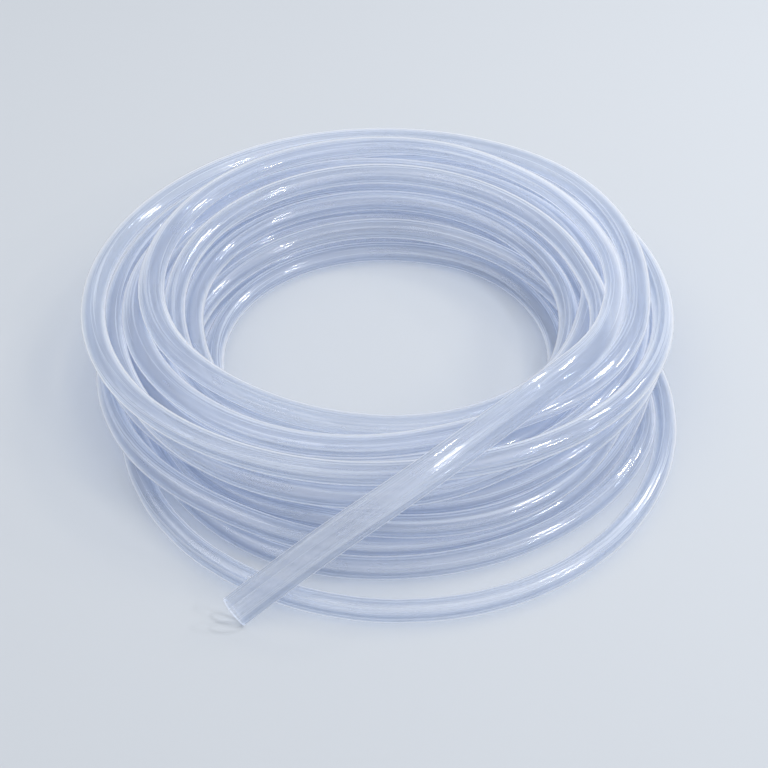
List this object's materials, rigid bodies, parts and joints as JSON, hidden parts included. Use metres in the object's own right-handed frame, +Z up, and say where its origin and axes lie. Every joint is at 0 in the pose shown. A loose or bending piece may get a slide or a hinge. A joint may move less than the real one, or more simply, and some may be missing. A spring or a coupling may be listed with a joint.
{
  "type": "silicone tubing coil",
  "caption": "Loose hand-wound coil of round translucent silicone tube, one turn slipped out at the front and one square-cut end lying across it.",
  "frame": {"origin": "on the table, in the middle of the space the whole object takes", "axes": "+Z up along the coil's axis, -Y towards the side where the loose turn and the free end lie, +X to the right seen from there"},
  "size_m": [0.2218, 0.238, 0.044],
  "materials": {
    "silicone": "translucent milky clear, smooth extruded"
  },
  "bodies": {
    "root": {"coil": "silicone", "loose_turn": "silicone", "free_end": "silicone"}
  },
  "joints": []
}
